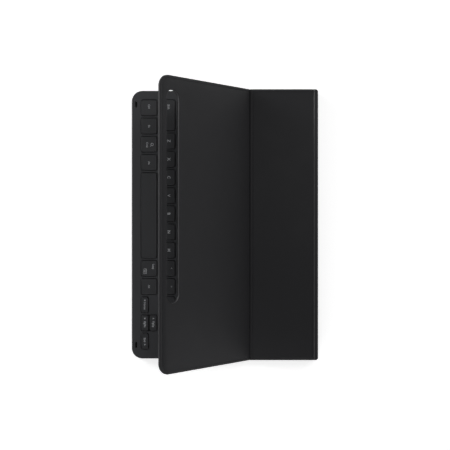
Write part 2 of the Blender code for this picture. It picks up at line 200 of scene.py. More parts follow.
def wall(mesh, *rings, closed=True):
    for low, high in zip(rings, rings[1:]):
        for i in range(len(low) if closed else len(low) - 1):
            j = (i + 1) % len(low)
            mesh.faces.new((low[i], low[j], high[j], high[i]))


def cap(mesh, outer, *holes):
    rings = [outer, *holes]
    flat = [vertex for each in rings for vertex in each]
    for triangle in tessellate_polygon([[vertex.co for vertex in each] for each in rings]):
        mesh.faces.new([flat[i] for i in triangle])


def solid(mesh, rings):
    """A wall through the rings, closed at both ends."""
    wall(mesh, *rings)
    cap(mesh, rings[0])
    cap(mesh, rings[-1])


def finished(name, mesh, material, nodes=()):
    """Scales a mesh to metres, makes it an object, and hides the CAD nodes that it stands in for."""
    bmesh.ops.recalc_face_normals(mesh, faces=mesh.faces)
    bmesh.ops.scale(mesh, vec=(MM, MM, MM), verts=mesh.verts)
    data = bpy.data.meshes.new(name)
    mesh.to_mesh(data)
    mesh.free()
    data.shade_smooth()
    data.set_sharp_from_angle(angle=math.radians(SHARP_ANGLE))
    data.materials.append(material)
    piece = bpy.data.objects.new(name, data)
    bpy.context.collection.objects.link(piece)
    if nodes:
        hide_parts(*nodes)
    return piece


# Materials.


class Nodes:
    """A new material's nodes, with the few kinds that every finish here is made of."""

    def __init__(self, name, colour, roughness, metallic=0.0, specular=0.5):
        self.material = bpy.data.materials.new(name)
        self.material.use_nodes = True
        self.tree = self.material.node_tree
        self.shader = self.tree.nodes["Principled BSDF"]
        self.colour = colour
        self.roughness = roughness
        self.shader.inputs["Metallic"].default_value = metallic
        self.shader.inputs["Specular IOR Level"].default_value = specular
        self.where = self.add("ShaderNodeTexCoord").outputs["Object"]

    def add(self, kind, **inputs):
        node = self.tree.nodes.new(kind)
        for name, value in inputs.items():
            node.inputs[name.replace("_", " ")].default_value = value
        return node

    def link(self, output, node, name):
        self.tree.links.new(output, node.inputs[name])

    def noise(self, size, detail=4.0, roughness=0.55, distortion=0.0):
        """Noise with features of about that size in millimetres."""
        node = self.add("ShaderNodeTexNoise", Scale=1 / (size * MM), Detail=detail)
        node.inputs["Roughness"].default_value = roughness
        node.inputs["Distortion"].default_value = distortion
        self.link(self.where, node, "Vector")
        return node.outputs["Fac"]

    def cells(self, size):
        """Rounded cells of about that size in millimetres."""
        node = self.add("ShaderNodeTexVoronoi", Scale=1 / (size * MM))
        self.link(self.where, node, "Vector")
        return node.outputs["Distance"]

    def stretch(self, *scale):
        """Stretches, along X, Y and Z, the textures that are added from here on."""
        node = self.add("ShaderNodeMapping")
        node.inputs["Scale"].default_value = scale
        self.link(self.where, node, "Vector")
        self.where = node.outputs["Vector"]

    def spread(self, value, low, high):
        """Maps the middle of a 0 to 1 value onto low to high."""
        node = self.add("ShaderNodeMapRange")
        node.inputs["From Min"].default_value = 0.3
        node.inputs["From Max"].default_value = 0.7
        node.inputs["To Min"].default_value = low
        node.inputs["To Max"].default_value = high
        self.link(value, node, "Value")
        return node.outputs["Result"]

    def total(self, first, second, share):
        """first plus share times second."""
        node = self.add("ShaderNodeMath")
        node.operation = "MULTIPLY_ADD"
        node.inputs[1].default_value = share
        self.tree.links.new(second, node.inputs[0])
        self.tree.links.new(first, node.inputs[2])
        return node.outputs[0]

    def colour_from(self, value, change):
        """Varies the base colour by a share of itself, up and down."""
        node = self.add("ShaderNodeMix")
        node.data_type = "RGBA"
        node.inputs["A"].default_value = (*[c * (1 - change) for c in self.colour], 1)
        node.inputs["B"].default_value = (*[c * (1 + change) for c in self.colour], 1)
        self.link(value, node, "Factor")
        self.link(node.outputs["Result"], self.shader, "Base Color")

    def roughness_from(self, value, change):
        low, high = self.roughness - change, self.roughness + change
        self.link(self.spread(value, low, high), self.shader, "Roughness")

    def bump_from(self, value, strength, height):
        """height is in millimetres."""
        node = self.add("ShaderNodeBump", Strength=strength, Distance=height * MM)
        self.link(value, node, "Height")
        self.link(node.outputs["Normal"], self.shader, "Normal")


def leather(name="cover_leather", colour=(0.0148, 0.0148, 0.0168), roughness=0.55):
    """Artificial leather: fine pebbled grain, and large soft changes of tone."""
    made = Nodes(name, colour, roughness, specular=0.28)
    grain = made.total(made.cells(0.42), made.noise(0.15, 3), 0.5)
    tone = made.noise(35, 3)
    made.colour_from(made.total(tone, made.noise(0.6, 2), 0.3), 0.12)
    made.roughness_from(made.total(tone, grain, 0.2), 0.05)
    made.bump_from(grain, 0.35, 0.05)
    made.shader.inputs["Sheen Weight"].default_value = 0.03
    made.shader.inputs["Sheen Roughness"].default_value = 0.4
    return made.material


def microfibre():
    """Brushed lining: short fibres that lie one way, and cloudy patches."""
    made = Nodes("microfibre_lining", (0.0095, 0.0095, 0.0108), 0.92, specular=0.2)
    made.stretch(0.25, 1.0, 1.0)
    fibres = made.noise(0.25, 6, 0.7, 0.6)
    clouds = made.noise(14, 4)
    made.colour_from(made.total(clouds, fibres, 0.4), 0.25)
    made.roughness_from(clouds, 0.05)
    made.bump_from(fibres, 0.5, 0.08)
    made.shader.inputs["Sheen Weight"].default_value = 0.12
    made.shader.inputs["Sheen Roughness"].default_value = 0.5
    return made.material


def moulded(name, colour, roughness, texture=0.18):
    """Spark-eroded plastic: an even fine texture with slight changes of gloss."""
    made = Nodes(name, colour, roughness, specular=0.45)
    grit = made.noise(texture, 5, 0.65)
    patches = made.noise(9, 3)
    made.colour_from(made.total(patches, grit, 0.3), 0.08)
    made.roughness_from(patches, 0.04)
    made.bump_from(grit, 0.25, 0.02)
    return made.material


def ink():
    """Pad-printed legends, a little uneven where the plastic's texture shows through."""
    made = Nodes("legend_ink", (0.50, 0.51, 0.53), 0.6)
    grit = made.noise(0.18, 4)
    made.colour_from(grit, 0.15)
    made.roughness_from(grit, 0.06)
    made.bump_from(grit, 0.2, 0.01)
    return made.material


def rubber():
    made = Nodes("bumper_rubber", (0.004, 0.004, 0.004), 0.8, specular=0.2)
    grit = made.noise(0.3, 4)
    made.colour_from(grit, 0.2)
    made.roughness_from(grit, 0.06)
    made.bump_from(grit, 0.3, 0.03)
    return made.material


def metal(name, colour, roughness):
    """Rolled or plated metal with fine lines along X."""
    made = Nodes(name, colour, roughness, metallic=1.0)
    made.stretch(1.0, 12.0, 12.0)
    lines = made.noise(2.0, 5, 0.6)
    made.colour_from(lines, 0.06)
    made.roughness_from(lines, 0.08)
    made.bump_from(lines, 0.1, 0.01)
    return made.material


def film():
    made = Nodes("switch_film", (0.07, 0.075, 0.07), 0.35)
    haze = made.noise(6, 4)
    made.colour_from(haze, 0.08)
    made.roughness_from(haze, 0.08)
    made.bump_from(made.noise(2, 2), 0.1, 0.02)
    return made.material


def board():
    """Stiff card in the cover, with a fibrous face."""
    made = Nodes("stiffener_card", (0.09, 0.09, 0.10), 0.85, specular=0.2)
    fibres = made.noise(0.8, 6, 0.7, 0.8)
    made.colour_from(fibres, 0.15)
    made.roughness_from(fibres, 0.05)
    made.bump_from(fibres, 0.3, 0.05)
    return made.material


def circuit():
    made = Nodes("circuit_solder_mask", (0.015, 0.09, 0.04), 0.4)
    tracks = made.cells(1.6)
    made.colour_from(made.spread(tracks, 0.0, 1.0), 0.35)
    made.roughness_from(made.noise(3, 3), 0.06)
    made.bump_from(tracks, 0.3, 0.03)
    return made.material


LEATHER = leather()
# Paler leather that paints a highlight along the seam's raised rear edge.
PAINTED_HIGHLIGHT_LEATHER = leather("painted_highlight_leather", (0.060, 0.059, 0.061), 0.42)
RIM = leather("rim_leather", (0.0225, 0.0225, 0.0245), 0.50)
LINING = microfibre()
DECK = moulded("deck_plastic", (0.0375, 0.0384, 0.0420), 0.55)
KEYCAP = moulded("key_plastic", (0.0312, 0.0320, 0.0348), 0.52, 0.15)
INK = ink()
RUBBER = rubber()
GOLD = metal("contact_gold", (0.85, 0.60, 0.22), 0.25)
NICKEL = metal("magnet_nickel", (0.50, 0.49, 0.47), 0.3)
ALUMINIUM = metal("base_aluminium", (0.55, 0.56, 0.58), 0.35)
FILM = film()
CARD = board()
CIRCUIT = circuit()


# Leather and lining. An edge profile is a list of (inset, depth) points, from the flat face round
# the edge to the far face. A sheet is a U of such edges round the free end of its panel, and then
# rows of the same section that carry it over its crease.


def free_end(mesh, edge, front_y, join_y, to_z, holes=()):
    """The panel's end with two round corners, back to join_y. Returns the section it ends in."""
    rings = []
    for inset, depth in edge:
        y, radius = front_y + CORNER_R, CORNER_R - inset
        left = arc(-HALF + CORNER_R, y, radius, 180, 90, CORNER_STEPS)
        right = arc(HALF - CORNER_R, y, radius, 270, 90, CORNER_STEPS)
        outline = [(-HALF + inset, join_y), *left, *right, (HALF - inset, join_y)]
        rings.append(ring(mesh, outline, to_z(depth)))
    wall(mesh, *rings, closed=False)
    faces, backs = [rings[0]], [rings[-1]]
    for box, hole_edge in holes:
        hole = [ring(mesh, pill(grown(box, inset)), to_z(depth)) for inset, depth in hole_edge]
        wall(mesh, *hole)
        faces.append(hole[0])
        backs.append(hole[-1])
    cap(mesh, *faces)
    cap(mesh, *backs)
    return [each[0] for each in rings] + [each[-1] for each in reversed(rings)]


def section(mesh, edge, row):
    """One row of a sheet, as a loop of points.

    A row is (y, z, inward y, inward z, half width, scale, how far its face is pressed in).
    """
    y, z, in_y, in_z, half_width, scale, sunk = row
    deepest = max(depth for _, depth in edge)
    points = []
    for side, steps in ((-1, edge), (1, reversed(edge))):
        for inset, depth in steps:
            x = side * (half_width - inset * scale)
            d = depth * scale + sunk * (1 - depth / deepest)
            points.append(mesh.verts.new((x, y + in_y * d, z + in_z * d)))
    return points


def ease(t):
    """A smooth step from 0 to 1 as t goes from 0 to 1."""
    t = min(max(t, 0.0), 1.0)
    return t * t * (3 - 2 * t)


def groove(offset, half, depth):
    """The depth of a pressed groove at some distance from its middle."""
    return depth * 0.5 * (1 + math.cos(math.pi * offset / half)) if abs(offset) < half else 0.0


def seam_sunk(y):
    """The rear edge's stitched-down band: a slow slope down to a sharp step back up."""
    if y < SEAM_STEP:
        return SEAM_SUNK * ease((y - SEAM_START) / (SEAM_STEP - SEAM_START))
    return SEAM_SUNK * (1 - ease((y - SEAM_STEP) / (SEAM_END - SEAM_STEP)))


def fold_rows():
    """Where the rows of a panel sheet lie across the fold, as distances behind it."""
    reach = FOLD_REACH + FOLD_GROOVES[1][0]
    steps = int((FOLD_REACH + reach) / FOLD_ROW)
    fine = [-FOLD_REACH + (FOLD_REACH + reach) * i / steps for i in range(steps + 1)]
    return [-FOLD_REACH - FOLD_MARGIN, *fine, reach + FOLD_MARGIN]


def bend_at_fold(mesh):
    """Turns the upper panel up from flat, with the bend spread smoothly across the fold."""
    for vertex in mesh.verts:
        y, z = vertex.co.y - FOLD_Y, vertex.co.z - PANEL_TOP
        turn = FOLD_TILT * ease((FOLD_REACH - y) / (2 * FOLD_REACH))
        vertex.co.y = FOLD_Y + y * math.cos(turn) + z * math.sin(turn)
        vertex.co.z = PANEL_TOP - y * math.sin(turn) + z * math.cos(turn)


LEATHER_EDGE = [
    (3.1, 0.0),
    (2.85, 0.10),
    (2.60, 0.22),
    (2.40, 0.10),
    (2.2, 0.0),
    (1.2, 0.0),
    *quarter(0.42),
    (0.0, 1.65),
    (0.08, 1.80),
    (0.30, 1.86),
    (0.80, 1.86),
    (0.80, LEATHER_T),
]
LEATHER_SLOT = [
    (0.80, 0.0),
    *quarter(0.22),
    (-0.12, 1.65),
    (-0.08, 1.80),
    (0.10, 1.86),
    (0.80, 1.86),
    (0.80, LEATHER_T),
]
LINING_EDGE = [
    (0.9, LINING_BACK),
    (0.45, LINING_BACK),
    (0.31, 2.25),
    (0.25, 2.12),
    (0.25, 1.88),
]
LINING_SLOT = [
    (0.2, LINING_BACK),
    (-0.10, LINING_BACK),
    (-0.25, 2.24),
    (-0.30, 2.12),
    (-0.25, 1.94),
    (-0.10, 1.88),
]
BASE_EDGE = [
    (1.3, 0.0),
    *quarter(1.0),
    (0.0, 2.0),
    (0.08, 2.14),
    (0.28, BASE_RIM_TOP),
    (0.80, BASE_RIM_TOP),
    (0.80, LEATHER_T),
]


def finish_rim(piece):
    """Makes the strips along a panel's two sides paler than the rest of the leather."""
    piece.data.materials.append(RIM)
    for face in piece.data.polygons:
        if abs(face.center.x) > (HALF - RIM_WIDTH) * MM:
            face.material_index = 1


def cover_sheet(name, edge, slot_edge, material, nodes):
    """The sheet of both panels, bent at the fold."""
    mesh = bmesh.new()
    slot_box = (SLOT_LEFT, SLOT_RIGHT, FOLD_Y - SLOT_FAR, FOLD_Y - SLOT_NEAR)
    offsets = fold_rows()
    join_y = FOLD_Y + offsets[0]
    holes = [(slot_box, slot_edge)]
    rows = [free_end(mesh, edge, FRONT, join_y, lambda depth: PANEL_TOP - depth, holes)]
    for offset in offsets[1:]:
        sunk = sum(groove(offset - middle, half, deep) for middle, half, deep in FOLD_GROOVES)
        row = (FOLD_Y + offset, PANEL_TOP, 0.0, -1.0, HALF, 1.0, sunk)
        rows.append(section(mesh, edge, row))
    rows.append(section(mesh, edge, (SEAM_Y, PANEL_TOP, 0.0, -1.0, HALF, 1.0, 0.0)))
    wall(mesh, *rows)
    mesh.faces.new(rows[-1])
    bend_at_fold(mesh)
    piece = finished(name, mesh, material, nodes)
    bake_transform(piece)
    return piece


SPINE_MIDDLE = PANEL_TOP / 2
CREASE_Y = REAR - CREASE_R
SPINE_HALF = HALF - SPINE_INSET
# The two ends of each crease, just past its rounded part.
PAST = 0.2
UPPER_CREASE = (
    (0.0, REAR * MM, (PANEL_TOP - CREASE_R - PAST) * MM),
    (0.0, (CREASE_Y - PAST) * MM, PANEL_TOP * MM),
)
LOWER_CREASE = (
    (0.0, (CREASE_Y - PAST) * MM, 0.0),
    (0.0, REAR * MM, (CREASE_R + PAST) * MM),
)
SPINE_SHARES = (0.05, 0.15, 0.4, 0.7, 1.0)
# The lining's last row before its crease, and its rows on the spine, from the stretch's ends.
LINING_ROW = 0.3
SPINE_ROW = 0.4


def crease_rows(centre_z, side, flat_ys, edge_depth, corner):
    """Rows over a rear crease to the middle of the spine. side is 1 above the spine, -1 below.

    The sheet thins from its panel's full edge to a single skin as it goes round.
    """
    flat_z = centre_z + side * CREASE_R
    thin = CREASE_T / edge_depth
    rows = []
    for y in flat_ys:
        sunk = seam_sunk(y) if side > 0 else 0.0
        rows.append((y, flat_z, 0.0, -side, HALF, 1.0, sunk))
    for i in range(CREASE_STEPS + 1):
        turn = math.radians(90 * i / CREASE_STEPS)
        y = CREASE_Y + CREASE_R * math.sin(turn)
        z = centre_z + side * CREASE_R * math.cos(turn)
        scale = 1 - (1 - thin) * ease(THINNING * i / CREASE_STEPS)
        rows.append((y, z, -math.sin(turn), -side * math.cos(turn), HALF - corner(y), scale, 0.0))
    for share in SPINE_SHARES:
        z = centre_z + (SPINE_MIDDLE - centre_z) * share
        half_width = rows[-1][4]
        if side < 0:
            half_width = HALF - corner(REAR) - (HALF - corner(REAR) - SPINE_HALF) * ease(share)
        rows.append((REAR, z, -1.0, 0.0, half_width, thin, 0.0))
    return rows


def rounded_corner(y):
    """How far the sides draw in towards the spine, so that the panel's rear corners are round."""
    into = min(max(y - (REAR - SPINE_INSET), 0.0), SPINE_INSET)
    return SPINE_INSET - math.sqrt(SPINE_INSET * SPINE_INSET - into * into)


def square_corner(y):
    """The base's own rear corners, which draw in only a little."""
    return BASE_REAR_INSET * ease((y - CREASE_Y) / CREASE_R)


def rear_leather():
    """Leather from the lower panel over the crease to the middle of the spine.

    A band along the seam's raised rear edge gets a paler leather: a painted highlight.
    """
    mesh = bmesh.new()
    slope = [SEAM_START + SLOPE_ROW * i for i in range(SLOPE_ROWS)]
    step = [SEAM_STEP + STEP_ROW * i for i in range(STEP_ROWS)]
    flat = [SEAM_Y, SECOND_ROW_Y, *slope, *step, SEAM_FLAT_END]
    depth = max(d for _, d in LEATHER_EDGE)
    rows = crease_rows(PANEL_TOP - CREASE_R, 1, flat, depth, rounded_corner)
    loops = [section(mesh, LEATHER_EDGE, row) for row in rows]
    wall(mesh, *loops)
    mesh.faces.new(loops[0])
    mesh.faces.new(loops[-1])
    piece = finished("rear_leather", mesh, LEATHER, ["spine_skin", "spine_crease"])
    start, end = UPPER_CREASE
    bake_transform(piece)
    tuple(start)
    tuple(end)
    finish_rim(piece)
    # Painted highlight: the seam's raised rear edge gets the paler leather.
    piece.data.materials.append(PAINTED_HIGHLIGHT_LEATHER)
    for face in piece.data.polygons:
        along = face.center.y / MM
        if PAINTED_HIGHLIGHT_START < along < PAINTED_HIGHLIGHT_END and face.center.z > (PANEL_TOP - SEAM_SUNK) * MM:
            face.material_index = 2


def base_leather():
    """Leather under the base, up round its edge, and over the lower crease onto the spine."""
    mesh = bmesh.new()
    first = free_end(mesh, BASE_EDGE, FRONT, SEAM_Y, lambda depth: depth)
    rows = crease_rows(CREASE_R, -1, [BASE_ROW_Y], BASE_RIM_TOP, square_corner)
    loops = [first] + [section(mesh, BASE_EDGE, row) for row in rows]
    wall(mesh, *loops)
    mesh.faces.new(loops[-1])
    nodes = ["base_outer_skin", "base_crease"]
    piece = finished("base_leather", mesh, LEATHER, nodes)
    start, end = LOWER_CREASE
    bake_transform(piece)
    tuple(start)
    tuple(end)


def rear_lining():
    """Lining from under the lower panel round the inside of the crease and down the spine."""
    mesh = bmesh.new()
    centre_z = PANEL_TOP - CREASE_R
    on_spine = SPINE_LINING_Y + LINING_BACK - REAR
    flat = (SEAM_Y, SECOND_ROW_Y, CREASE_Y - LINING_ROW)
    rows = [(y, PANEL_TOP, 0.0, -1.0, HALF, 1.0, 0.0) for y in flat]
    for i in range(LINING_CREASE_STEPS + 1):
        turn = math.radians(90 * i / LINING_CREASE_STEPS)
        shift = on_spine * ease(i / LINING_CREASE_STEPS)
        y = CREASE_Y + CREASE_R * math.sin(turn) + shift
        z = centre_z + CREASE_R * math.cos(turn)
        half_width = HALF - rounded_corner(y - shift)
        rows.append((y, z, -math.sin(turn), -math.cos(turn), half_width, 1.0, 0.0))
    for z in (centre_z - SPINE_ROW, SPINE_LINING_END + SPINE_ROW, SPINE_LINING_END):
        rows.append((REAR + on_spine, z, -1.0, 0.0, SPINE_HALF, 1.0, 0.0))
    loops = [section(mesh, LINING_EDGE, row) for row in rows]
    wall(mesh, *loops)
    mesh.faces.new(loops[0])
    mesh.faces.new(loops[-1])
    piece = finished("rear_lining", mesh, LINING, ["spine_lining"])
    start, end = UPPER_CREASE
    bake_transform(piece)
    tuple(start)
    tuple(end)


# Keys. Each strip's keys have their widths here in pitches, and then their names.


STRIP_WIDTHS = {
    "key_strip_home_left": (1.32, 1, 1, 1, 1, 1, 1),
    "key_strip_home_right": (1, 1, 1, 1, 1, 1.5),
    "key_strip_upper_left": (1.07, 1, 1, 1, 1, 1, 1),
    "key_strip_upper_right": (1, 1, 1, 1, 1, 1, 0.75),
    "key_strip_number_left": (0.82, 1, 1, 1, 1),
    "key_strip_number_middle": (1, 1, 1, 1, 1),
    "key_strip_number_right": (1, 1, 1, 1),
}
STRIP_KEYS = {
    "key_strip_home_left": ("caps", "a", "s", "d", "f", "g", "h"),
    "key_strip_home_right": ("j", "k", "l", "semicolon", "quote", "enter"),
    "key_strip_upper_left": ("tab", "q", "w", "e", "r", "t", "y"),
    "key_strip_upper_right": ("u", "i", "o", "p", "bracket_left", "bracket_right", "backslash"),
    "key_strip_number_left": ("grave", "1", "2", "3", "4"),
    "key_strip_number_middle": ("5", "6", "7", "8", "9"),
    "key_strip_number_right": ("0", "minus", "equals", "backspace"),
}
LETTER_H = 2.7
WORD_H = 1.75
# Legends on the keys that don't just carry their own letter: (text, x, y, height) from the centre.
WORDS = {
    "control": [("Ctrl", -1.3, 0.0, WORD_H)],
    "function": [("Fn", 0.3, 0.0, WORD_H)],
    "command": [("Cmd", 0.5, -1.8, WORD_H)],
    "alt_left": [("Alt", 0.5, 0.0, WORD_H)],
    "space": [],
    "language": [("Lang", -1.8, 4.1, WORD_H)],
    "alt_right": [("Alt", 0.0, 0.0, WORD_H)],
    "left": [("Home", 1.1, 0.0, 1.9)],
    "up": [("PgUp", 1.3, 0.1, 1.9)],
    "down": [("PgDn", 1.3, 0.0, 1.9)],
    "right": [("End", -1.1, 0.0, 1.9)],
    "shift_left": [("Shift", -8.1, 1.2, 1.9)],
    "shift_right": [("Shift", 8.6, 1.2, WORD_H)],
    "comma": [("<", 0.0, 4.0, 1.9), (",", 0.0, -1.2, 2.2)],
    "period": [(">", 0.0, 4.0, 1.9), (".", 0.0, -1.2, 2.2)],
    "slash": [("?", 0.0, 4.0, 2.2), ("/", 0.0, -1.6, 2.2)],
    "caps": [("Caps", -3.6, 1.2, WORD_H)],
    "tab": [("Tab", -2.0, 1.2, WORD_H)],
    "enter": [("Enter", 4.6, 1.2, WORD_H)],
    "backspace": [("Del", 1.0, 1.2, WORD_H)],
    "semicolon": [(":", 0.0, 4.0, 1.9), (";", 0.0, -1.2, 2.0)],
    "quote": [('"', 0.0, 4.0, 1.9), ("'", 0.0, -1.6, 2.0)],
    "bracket_left": [("{", 0.0, 3.4, 2.0), ("[", 0.0, -1.8, 2.0)],
    "bracket_right": [("}", 0.0, 3.4, 2.0), ("]", 0.0, -1.8, 2.0)],
    "backslash": [("|", 0.0, 3.4, 2.0), ("\\", 0.0, -1.8, 2.0)],
    "grave": [("~", 0.0, 3.0, 1.9), ("`", 0.0, -2.2, 2.0)],
    "minus": [("_", 0.0, 3.6, 2.0), ("-", 0.0, -1.8, 2.2)],
    "equals": [("+", 0.0, 3.4, 2.0), ("=", 0.0, -1.8, 2.2)],
}
SHIFTED_DIGITS = dict(zip("1234567890", "!@#$%^&*()"))


def words_on(key):
    """A key's legends as (text, x, y, height)."""
    if key in WORDS:
        return WORDS[key]
    if key in SHIFTED_DIGITS:
        return [(SHIFTED_DIGITS[key], 0.0, 3.6, 1.9), (key, 0.0, -1.7, 2.3)]
    return [(key.upper(), 0.0, 1.6, LETTER_H)]


def key_faces():
    """Every key as (key, body, face box, flange box), from the boxes of the CAD's key nodes."""
    found = []
    for node in sorted(n for n in frame["nodes"] if n.startswith("key_")):
        x0, x1, y0, y1, _, _ = box_mm(node)
        if node in STRIP_WIDTHS:
            x = x0 + KEY_FLANGE
            y = y0 + KEY_FLANGE
            for key, width in zip(STRIP_KEYS[node], STRIP_WIDTHS[node]):
                reach = width * PITCH - PITCH + KEY_FACE
                face = (x, x + reach, y, y + KEY_FACE)
                found.append((key, node, face, grown(face, KEY_FLANGE)))
                x += width * PITCH
        else:
            key = node.removeprefix("key_")
            front = SPLIT_FLANGE if key == "up" else KEY_FLANGE
            rear = SPLIT_FLANGE if key == "down" else KEY_FLANGE
            face = (x0 + KEY_FLANGE, x1 - KEY_FLANGE, y0 + front, y1 - rear)
            found.append((key, node, face, (x0, x1, y0, y1)))
    return found


KEY_EDGE = [
    (-0.08, KEY_FOOT + KEY_FLANGE_T),
    (0.0, KEY_TOP - 0.5),
    *((inset, KEY_TOP - depth) for inset, depth in reversed(quarter(0.32))),
    (0.75, KEY_TOP - 0.3 * DISH),
    (1.3, KEY_TOP - DISH),
    (1.7, KEY_TOP - DISH),
]


def keycap(key, body, box, flange):
    """A key's flange under the deck, its skirt, and its face with a shallow dish."""
    mesh = bmesh.new()
    foot = rectangle(flange, FLANGE_R, FLANGE_R)
    rings = [ring(mesh, foot, KEY_FOOT), ring(mesh, foot, KEY_FOOT + KEY_FLANGE_T)]
    for inset, z in KEY_EDGE:
        radius = max(KEY_R - inset, DISH_R)
        rings.append(ring(mesh, rectangle(grown(box, -inset), radius, radius), z))
    solid(mesh, rings)
    return finished(f"keycap_{key}", mesh, KEYCAP, [body])


# A font's size is the height of its capitals divided by CAPITAL_SHARE. Print is INK_T thick either
# side of its middle, which lies INK_MIDDLE over the key's dish, and a little bolder than the font.
CAPITAL_SHARE = 0.70
INK_T = 0.01
INK_MIDDLE = 0.012
BOLDER = 0.012


def text_mesh(mesh, words, x, y, height):
    """Adds raised words, centred on a point, to a mesh."""
    curve = bpy.data.curves.new("words", "FONT")
    curve.body = words
    curve.size = height / CAPITAL_SHARE
    curve.align_x = "CENTER"
    curve.extrude = INK_T
    curve.offset = BOLDER * curve.size
    curve.resolution_u = 3
    written = bpy.data.objects.new("words", curve)
    bpy.context.collection.objects.link(written)
    bpy.context.view_layer.update()
    evaluated = written.evaluated_get(bpy.context.evaluated_depsgraph_get())
    data = bpy.data.meshes.new_from_object(evaluated)
    before = len(mesh.verts)
    mesh.from_mesh(data)
    mesh.verts.ensure_lookup_table()
    move = (x, y - height / 2, KEY_TOP - DISH + INK_MIDDLE)
    bmesh.ops.translate(mesh, verts=mesh.verts[before:], vec=move)
    bpy.data.objects.remove(written)
    bpy.data.curves.remove(curve)
    bpy.data.meshes.remove(data)


def plate_of(mesh, outline, holes=()):
    """Adds a printed shape, raised like the words."""
    z = KEY_TOP - DISH + INK_MIDDLE
    low = [ring(mesh, each, z - INK_T) for each in (outline, *holes)]
    high = [ring(mesh, each, z + INK_T) for each in (outline, *holes)]
    for pair in zip(low, high):
        wall(mesh, *pair)
    cap(mesh, *low)
    cap(mesh, *high)


def circle(x, y, radius):
    return arc(x, y, radius, 0, 360, CIRCLE_STEPS)[:-1]


def triangle(x, y, turn, radius):
    return arc(x, y, radius, turn, 360, 3)[:-1]


# Icons, measured from the middle of their key. An arrow is (its shift along X, its turn).
RING_AT = (0.2, 2.9)
RING_RADII = (1.35, 1.0)
HANDLE = ((1.15, 1.9), (1.4, 1.65), (2.2, 0.85), (2.4, 1.05), (1.6, 1.85))
BOARD_BOX = (0.2, 5.2, -5.2, -2.4)
BOARD_R = 0.5
BOARD_INNER_R = 0.25
BOARD_LINE = 0.3
# The small keyboard's rows, as (top, how many keys, half a key's width).
BOARD_ROWS = ((-3.0, 5, 0.2), (-3.62, 5, 0.2), (-4.24, 1, 1.0))
DOT_PITCH = 0.8
DOT_H = 0.3
DOT_R = 0.05
ARROW_R = 1.0
ARROWS = {"left": (-4.1, 180), "up": (-4.3, 90), "down": (-4.3, 270), "right": (3.2, 0)}


def ring_with_handle(mesh, x, y):
    outer, inner = (circle(x + RING_AT[0], y + RING_AT[1], radius) for radius in RING_RADII)
    plate_of(mesh, outer, [inner])
    plate_of(mesh, [(x + dx, y + dy) for dx, dy in HANDLE])


def small_keyboard(mesh, x, y):
    x0, x1, y0, y1 = BOARD_BOX
    outer = (x + x0, x + x1, y + y0, y + y1)
    inner = grown(outer, -BOARD_LINE)
    hole = rectangle(inner, BOARD_INNER_R, BOARD_INNER_R)
    plate_of(mesh, rectangle(outer, BOARD_R, BOARD_R), [hole])
    for top, count, half in BOARD_ROWS:
        for i in range(count):
            middle = x + (x0 + x1) / 2 + (i - (count - 1) / 2) * DOT_PITCH
            dot = (middle - half, middle + half, y + top - DOT_H, y + top)
            plate_of(mesh, rectangle(dot, DOT_R, DOT_R, steps=1))


def icons_on(mesh, key, x, y):
    """A ring with a handle, a small keyboard, and the arrows."""
    if key == "command":
        ring_with_handle(mesh, x, y)
    if key == "language":
        small_keyboard(mesh, x, y)
    if key in ARROWS:
        shift, turn = ARROWS[key]
        plate_of(mesh, triangle(x + shift, y, turn, ARROW_R))


def legend(key, body, box):
    """The print on a key, if it has any."""
    words = words_on(key)
    if not words:
        return
    x, y = (box[0] + box[1]) / 2, (box[2] + box[3]) / 2
    mesh = bmesh.new()
    for text, dx, dy, height in words:
        text_mesh(mesh, text, x + dx, y + dy, height)
    icons_on(mesh, key, x, y)
    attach(finished(f"legend_{key}", mesh, INK), body)


# Deck and fittings.


# The edge of an opening, as (how much wider than the opening, depth).
OPENING_EDGE = [(0.30, 0.0), (0.12, 0.0), (0.035, 0.035), (0.0, 0.12), (0.0, DECK_T)]
DOCK_R = 1.5


def deck_openings(faces):
    """Every opening as (its box, the radius of its corners, or None where its ends are round).

    The up and down keys share one opening.
    """
    openings = {key: box for key, _, box, _ in faces if key != "up"}
    up = next(box for key, _, box, _ in faces if key == "up")
    openings["down"] = (*openings["down"][:3], up[3])
    found = [(grown(box, KEY_CLEARANCE), KEY_R + KEY_CLEARANCE) for box in openings.values()]
    found.append((grown(box_mm("dock_bar")[:4], FITTING_GAP), DOCK_R + FITTING_GAP))
    for name in ("front_bumper_left", "front_bumper_right"):
        found.append((grown(box_mm(name)[:4], FITTING_GAP), None))
    return found


def deck(faces):
    """The deck's tray, open below, with a rounded opening for every key and fitting."""
    mesh = bmesh.new()
    edge = [
        (0.9, 0.0),
        *quarter(0.6),
        (0.0, DECK_TOP - DECK_BOTTOM - 0.15),
        (0.15, DECK_TOP - DECK_BOTTOM),
        (DECK_WALL, DECK_TOP - DECK_BOTTOM),
        (DECK_WALL, DECK_T),
    ]
    rings = []
    for inset, depth in edge:
        box = (-HALF + inset, HALF - inset, FRONT + inset, DECK_REAR - inset)
        outline = rectangle(box, CORNER_R - inset, DECK_REAR_R - inset, steps=CORNER_STEPS)
        rings.append(ring(mesh, outline, DECK_TOP - depth))
    wall(mesh, *rings)
    tops, backs = [rings[0]], [rings[-1]]
    for box, radius in deck_openings(faces):
        hole = []
        for by, depth in OPENING_EDGE:
            if radius is None:
                outline = pill(grown(box, by), steps=PAD_STEPS)
            else:
                outline = rectangle(grown(box, by), radius + by, radius + by)
            hole.append(ring(mesh, outline, DECK_TOP - depth))
        wall(mesh, *hole)
        tops.append(hole[0])
        backs.append(hole[-1])
    cap(mesh, *tops)
    cap(mesh, *backs)
    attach(finished("deck", mesh, DECK, ["deck_frame"]), "keyboard_base")


def rounded_block(name, box, edge, radius, material, nodes, body):
    """A closed piece whose outline is drawn in along an edge profile of (inset, z) points."""
    mesh = bmesh.new()
    rings = []
    for inset, z in edge:
        corner = max(radius - inset, SMALLEST_R)
        outline = rectangle(grown(box, -inset), corner, corner, steps=BLOCK_STEPS)
        rings.append(ring(mesh, outline, z))
    solid(mesh, rings)
    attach(finished(name, mesh, material, nodes), body)


DOCK_EDGE_R = 0.3
